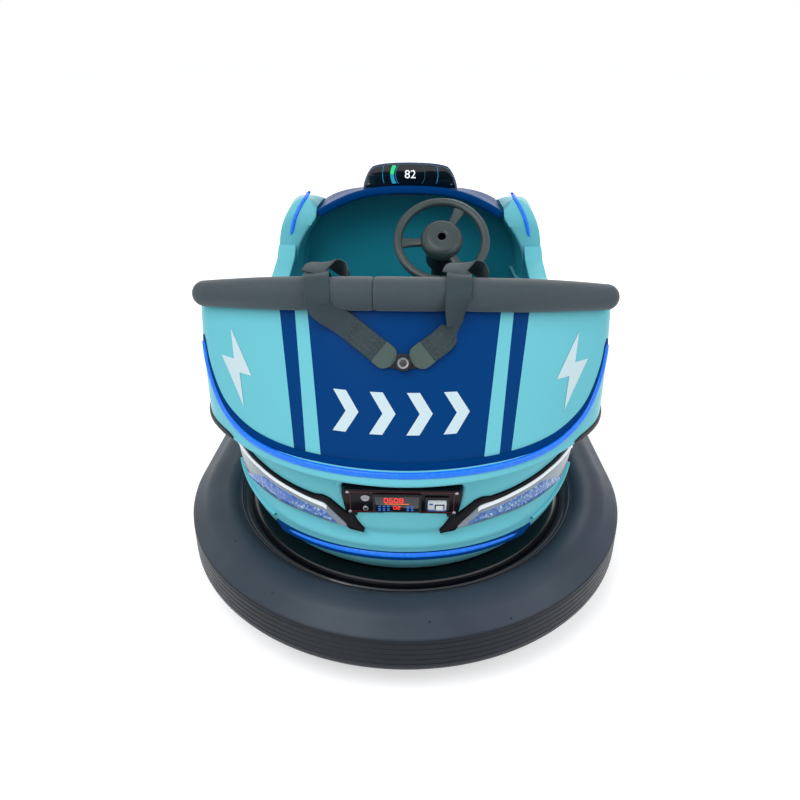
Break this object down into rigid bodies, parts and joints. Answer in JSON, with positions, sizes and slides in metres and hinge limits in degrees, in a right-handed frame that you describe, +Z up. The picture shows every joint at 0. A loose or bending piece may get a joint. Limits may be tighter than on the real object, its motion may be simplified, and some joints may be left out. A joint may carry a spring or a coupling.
{
  "type": "two-seat battery bumper car",
  "caption": "Two-seat battery bumper car: an oval inflated bumper tyre around a fibreglass body with a padded rear rail, belts, an offset steering wheel and a turning drive wheel.",
  "frame": {"origin": "on the floor, below the middle of the bumper tyre", "axes": "+Y forward, +X to the riders right, +Z up"},
  "size_m": [1.0998, 1.8, 0.8487],
  "materials": {
    "tyre_rubber": "satin black rubber, slightly dusty",
    "rim_black": "gloss black paint",
    "frame_paint": "satin black paint",
    "body_paint": "light cyan gel coat with navy stripes, high gloss",
    "hood_paint": "navy gel coat, high gloss",
    "seat_vinyl": "matt dark vinyl with sewn channels",
    "battery_case": "moulded case",
    "rail_foam": "matt closed-cell foam sleeve",
    "steel": "zinc plated",
    "motor_black": "satin black paint",
    "wheel_rubber": "solid rubber, matt",
    "wheel_hub": "painted casting",
    "wheel_grip": "grained dark plastic",
    "black_plastic": "moulded, satin",
    "panel_gloss": "black, polished",
    "breaker_white": "white moulding with a blue lever",
    "screen_glass": "dark glossy screen",
    "lamp_lens": "pale lens over a glitter reflector",
    "led_blue": "blue silicone light strip",
    "webbing": "dark woven webbing"
  },
  "bodies": {
    "root": {"back_cushion": "seat_vinyl", "battery_pack": "battery_case", "belt_anchor": "black_plastic", "belt_buckles": "black_plastic", "belt_left": "webbing", "belt_right": "webbing", "bumper_rim": "rim_black", "bumper_tyre": "tyre_rubber", "chassis_frame": "frame_paint", "control_panel": "panel_gloss", "display_pod": "panel_gloss", "display_screen": "screen_glass", "fender_left": "body_paint", "fender_right": "body_paint", "floor_pan": "frame_paint", "foot_pedal": "steel", "front_grille": "black_plastic", "headlights": "lamp_lens", "hood": "hood_paint", "led_strips_fender": "led_blue", "led_strips_rear": "led_blue", "lower_hull": "body_paint", "main_breaker": "breaker_white", "panel_meter": "panel_gloss", "rear_rail": "rail_foam", "rear_shell": "body_paint", "rear_wheel_brackets": "steel", "seat_box": "body_paint", "seat_cushion": "seat_vinyl", "side_wall_left": "body_paint", "side_wall_right": "body_paint", "steering_case": "motor_black", "steering_column": "black_plastic", "tail_lights": "lamp_lens", "toe_board": "body_paint"},
    "steering": {"steering_wheel": "wheel_grip", "steering_shaft": "steel"},
    "drive_unit": {"drive_fork": "steel", "drive_motor": "motor_black"},
    "drive_wheel": {"drive_wheel_tyre": "wheel_rubber", "drive_wheel_hub": "wheel_hub"},
    "rear_wheel_left": {"rear_wheel_tyre_left": "wheel_rubber", "rear_wheel_hub_left": "wheel_hub"},
    "rear_wheel_right": {"rear_wheel_tyre_right": "wheel_rubber", "rear_wheel_hub_right": "wheel_hub"}
  },
  "joints": [
    {"name": "steering_turn", "type": "hinge", "parent": "root", "child": "steering", "pos_m": [0.094, 0.172, 0.655], "axis": [0, -0.6691, 0.7431], "range_deg": [-180, 180]},
    {"name": "drive_unit_turn", "type": "hinge", "parent": "root", "child": "drive_unit", "pos_m": [0, 0.55, 0.1], "axis": [0, 0, 1], "range_deg": [-180, 180]},
    {"name": "drive_wheel_spin", "type": "hinge", "parent": "drive_unit", "child": "drive_wheel", "pos_m": [0, 0.55, 0.1], "axis": [1, 0, 0], "continuous": true},
    {"name": "rear_wheel_left_spin", "type": "hinge", "parent": "root", "child": "rear_wheel_left", "pos_m": [-0.235, -0.45, 0.075], "axis": [1, 0, 0], "continuous": true},
    {"name": "rear_wheel_right_spin", "type": "hinge", "parent": "root", "child": "rear_wheel_right", "pos_m": [0.235, -0.45, 0.075], "axis": [1, 0, 0], "continuous": true}
  ],
  "couplings": [
    {"joint": "drive_unit_turn", "follows": "steering_turn", "ratio": 1}
  ]
}
